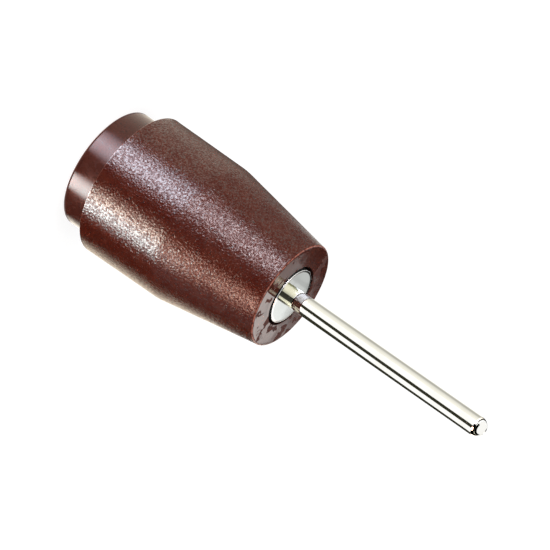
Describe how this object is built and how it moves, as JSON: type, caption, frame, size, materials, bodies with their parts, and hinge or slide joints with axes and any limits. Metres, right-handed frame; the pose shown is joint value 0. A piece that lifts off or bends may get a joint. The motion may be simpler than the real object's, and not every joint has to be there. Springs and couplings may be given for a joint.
{
  "type": "bookbinding awl",
  "caption": "Palm awl with a blunt round-tipped steel rod clamped through a tapered moulded grip, and a smooth palm cap that swivels behind it.",
  "frame": {"origin": "centre of the flat palm face at the back of the cap", "axes": "+Z along the tool's axis, from the palm face to the rod's tip; the tool is round about Z, and the locating pin lies on the +X side"},
  "size_m": [0.0306, 0.0306, 0.095],
  "materials": {
    "grained_brown": "fine moulded grain, satin",
    "gloss_brown": "smooth moulded gloss",
    "mirror_nickel": "mirror-polished nickel plate",
    "black_rubber": "matt",
    "zinc_steel": "bright zinc plate",
    "white_nylon": "natural nylon",
    "bronze": "turned bronze"
  },
  "bodies": {
    "grip": {"grip_shell": "grained_brown", "spindle": "mirror_nickel", "rod": "mirror_nickel", "front_gasket": "black_rubber", "locating_pin": "zinc_steel", "clamp_washer": "zinc_steel", "lock_washer": "zinc_steel", "clamp_nut": "zinc_steel", "thrust_washer": "white_nylon", "retaining_washer": "zinc_steel", "retaining_screw": "zinc_steel"},
    "cap": {"palm_cap": "gloss_brown", "cap_bush": "bronze", "cap_plug": "gloss_brown"}
  },
  "joints": [
    {"name": "cap_swivel", "type": "hinge", "parent": "grip", "child": "cap", "pos_m": [0, 0, 0.0057], "axis": [0, 0, 1], "continuous": true}
  ]
}
